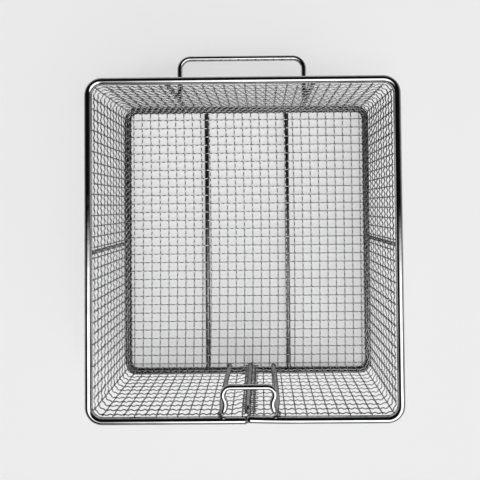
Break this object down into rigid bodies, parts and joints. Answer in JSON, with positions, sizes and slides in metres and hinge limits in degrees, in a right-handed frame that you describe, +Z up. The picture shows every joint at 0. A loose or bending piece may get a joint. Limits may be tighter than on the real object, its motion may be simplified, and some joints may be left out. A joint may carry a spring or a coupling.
{
  "type": "deep fryer basket",
  "caption": "Rectangular wire mesh fry basket with a round rod rim, foot rings, upright stays, a rear hand bow and an inside front loop that takes a lifting handle.",
  "frame": {"origin": "on the ground under the middle of the whole outline, the rear hand bow included", "axes": "+X to the right seen from the front, +Y to the rear, where the hand bow is, +Z up out of the open mouth"},
  "size_m": [0.337, 0.4078, 0.169],
  "materials": {
    "polished_rod": "polished stainless steel rod, drawn and electropolished",
    "woven_wire": "crimped stainless wire, satin with bright crowns"
  },
  "bodies": {
    "root": {"rim_rod": "polished_rod", "wall_foot_ring": "polished_rod", "foot_ring": "polished_rod", "floor_rod_left": "polished_rod", "floor_rod_right": "polished_rod", "side_stay_left": "polished_rod", "side_stay_right": "polished_rod", "back_stay_left": "polished_rod", "back_stay_right": "polished_rod", "front_stay": "polished_rod", "rear_handle": "polished_rod", "front_bracket": "polished_rod", "wall_mesh": "woven_wire", "floor_mesh": "woven_wire"}
  },
  "joints": []
}
